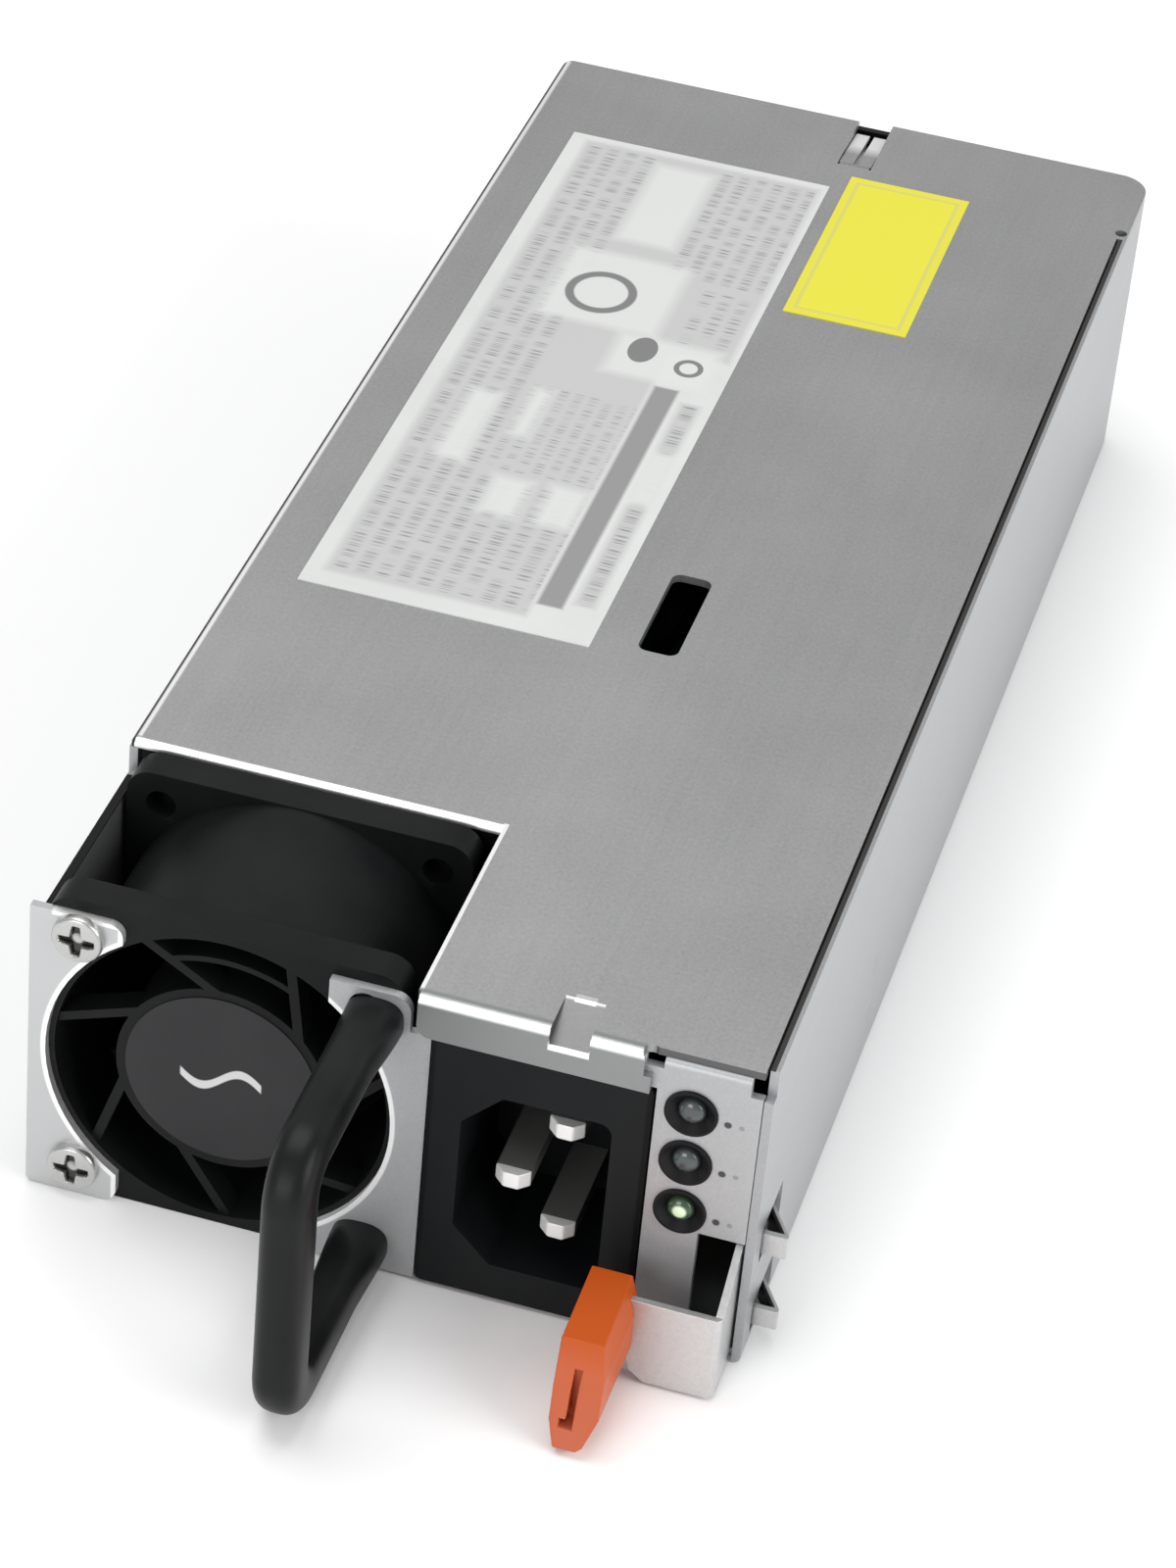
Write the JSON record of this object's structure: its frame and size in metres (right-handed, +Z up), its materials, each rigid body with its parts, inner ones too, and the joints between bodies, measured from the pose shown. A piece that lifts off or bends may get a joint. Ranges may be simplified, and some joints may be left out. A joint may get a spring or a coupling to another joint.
{
  "type": "hot swap server power supply",
  "caption": "Sheet steel power supply module for a server bay, with a fan, pull handle, spring latch, mains inlet, status lamps and a rear card edge.",
  "frame": {"origin": "centre of the case's underside, midway between its sides and midway between the front plate and the rear grille", "axes": "+Z up, the front plate with the fan, handle and inlet faces -Y, the card edge points +Y, +X to the latch side"},
  "size_m": [0.0847, 0.239, 0.0401],
  "materials": {
    "case_steel": "satin zinc plated sheet",
    "plate_steel": "satin zinc plated sheet",
    "spring_steel": "satin",
    "screw_steel": "bright plated",
    "black_plastic": "fine moulded texture",
    "handle_plastic": "fine moulded texture",
    "inlet_plastic": "smooth moulding",
    "orange_plastic": "smooth moulding",
    "collar_plastic": "smooth moulding",
    "lamp_green": "clear, lit",
    "lamp_clear": "clear, unlit",
    "emitter": "clear resin",
    "label_white": "printed film",
    "label_yellow": "printed film",
    "label_silver": "printed film",
    "nickel": "plated contact",
    "gold": "gold plated",
    "board_green": "solder mask",
    "insulator": "translucent film",
    "copper": "enamelled wire",
    "ferrite": "sintered",
    "aluminium": "anodised",
    "can_sleeve": "sleeve",
    "component": "moulded",
    "component_black": "moulded",
    "lead_insulation": "smooth",
    "connector_nylon": "smooth moulding",
    "glass": "clear",
    "shaft_steel": "ground",
    "magnet": "bonded"
  },
  "bodies": {
    "chassis": {"base_tray": "case_steel", "top_cover": "case_steel", "face_plate": "plate_steel", "rear_grille": "case_steel", "cover_screws": "screw_steel", "pull_handle": "handle_plastic", "handle_screws": "screw_steel", "fan_frame": "black_plastic", "fan_bearings": "shaft_steel", "fan_drive_board": "board_green", "fan_stator_core": "ferrite", "fan_windings": "copper", "hub_label": "label_silver", "fan_lead": "lead_insulation", "fan_socket": "connector_nylon", "fan_screws": "screw_steel", "inlet_housing": "inlet_plastic", "line_blade": "nickel", "neutral_blade": "nickel", "earth_blade": "nickel", "inlet_board": "board_green", "status_lens_lower": "lamp_green", "status_lens_middle": "lamp_clear", "status_lens_upper": "lamp_clear", "lamp_collars": "collar_plastic", "lamp_emitters": "emitter", "lamp_board": "board_green", "latch_rivets": "screw_steel", "main_board": "board_green", "edge_contacts": "gold", "insulation_sheet": "insulator", "board_posts": "nickel", "board_screws": "screw_steel", "line_filter_choke": "copper", "filter_capacitor": "component", "fuse": "glass", "inrush_relay": "component_black", "input_choke": "copper", "bulk_capacitor": "can_sleeve", "primary_heat_sink": "aluminium", "primary_transistors": "component_black", "transformer_core": "ferrite", "transformer_winding": "copper", "output_heat_sink": "aluminium", "output_rectifiers": "component_black", "output_choke": "copper", "output_capacitors": "can_sleeve", "control_board": "board_green", "rating_label": "label_white", "notice_label": "label_yellow"},
    "rotor": {"fan_impeller": "black_plastic", "fan_magnet_ring": "magnet", "fan_shaft": "shaft_steel"},
    "latch": {"latch_spring": "spring_steel", "latch_grip": "orange_plastic"}
  },
  "joints": [
    {"name": "fan_spin", "type": "hinge", "parent": "chassis", "child": "rotor", "pos_m": [-0.0194, -0.085, 0.02], "axis": [0, 1, 0], "continuous": true},
    {"name": "latch_flex", "type": "hinge", "parent": "chassis", "child": "latch", "pos_m": [0.0393, -0.044, 0.01], "axis": [0, 0, -1], "range_deg": [0, 3.3], "stiffness_Nm_per_rad": 6}
  ]
}
